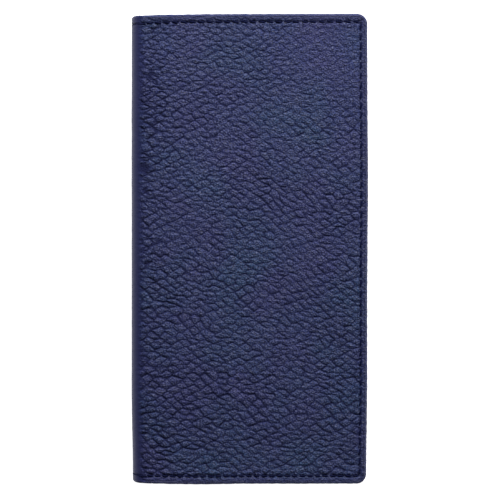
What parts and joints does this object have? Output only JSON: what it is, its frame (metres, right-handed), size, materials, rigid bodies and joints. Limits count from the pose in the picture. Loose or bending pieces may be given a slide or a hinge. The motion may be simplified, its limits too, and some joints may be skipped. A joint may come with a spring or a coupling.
{
  "type": "long wallet",
  "caption": "Slim long wallet in navy pebbled leather that folds shut along its long side, with rows of card pockets and full-length banknote compartments inside.",
  "frame": {"origin": "centre of the closed wallet's footprint, on the underside of its back cover", "axes": "+X from the spine to the free edge, +Y along the fold, +Z through the thickness to the front cover"},
  "size_m": [0.095, 0.19, 0.012],
  "materials": {
    "cover_leather": "pebbled, navy, satin",
    "inner_leather": "smooth, navy, satin",
    "lining_leather": "thin fine-grained lining leather, navy",
    "stiffener_board": "grey bonded board",
    "outer_thread": "waxed polyester thread",
    "inner_thread": "waxed polyester thread"
  },
  "bodies": {
    "back_half": {"back_cover_leather": "cover_leather", "back_edge_stitching": "outer_thread", "back_cover_stiffener": "stiffener_board", "back_cover_lining": "lining_leather", "back_note_divider": "inner_leather", "back_card_panel": "inner_leather", "back_card_pocket_row_4": "inner_leather", "back_card_pocket_row_3": "inner_leather", "back_card_pocket_row_2": "inner_leather", "back_card_pocket_row_1": "inner_leather", "back_pocket_stitching": "inner_thread"},
    "spine": {"spine_leather": "cover_leather", "spine_stitching": "outer_thread", "spine_reinforcement": "stiffener_board", "spine_lining": "lining_leather"},
    "front_half": {"front_cover_leather": "cover_leather", "front_edge_stitching": "outer_thread", "front_cover_stiffener": "stiffener_board", "front_cover_lining": "lining_leather", "front_note_divider": "inner_leather", "front_card_panel": "inner_leather", "front_card_pocket_row_4": "inner_leather", "front_card_pocket_row_3": "inner_leather", "front_card_pocket_row_2": "inner_leather", "front_card_pocket_row_1": "inner_leather", "front_pocket_stitching": "inner_thread"}
  },
  "joints": [
    {"name": "spine_fold", "type": "hinge", "parent": "back_half", "child": "spine", "pos_m": [-0.04653, 0, 0.00097], "axis": [0, -1, 0], "range_deg": [0, 90]},
    {"name": "cover_fold", "type": "hinge", "parent": "spine", "child": "front_half", "pos_m": [-0.04653, 0, 0.01103], "axis": [0, -1, 0], "range_deg": [0, 90]}
  ],
  "couplings": [
    {"joint": "spine_fold", "follows": "cover_fold", "ratio": 1}
  ]
}
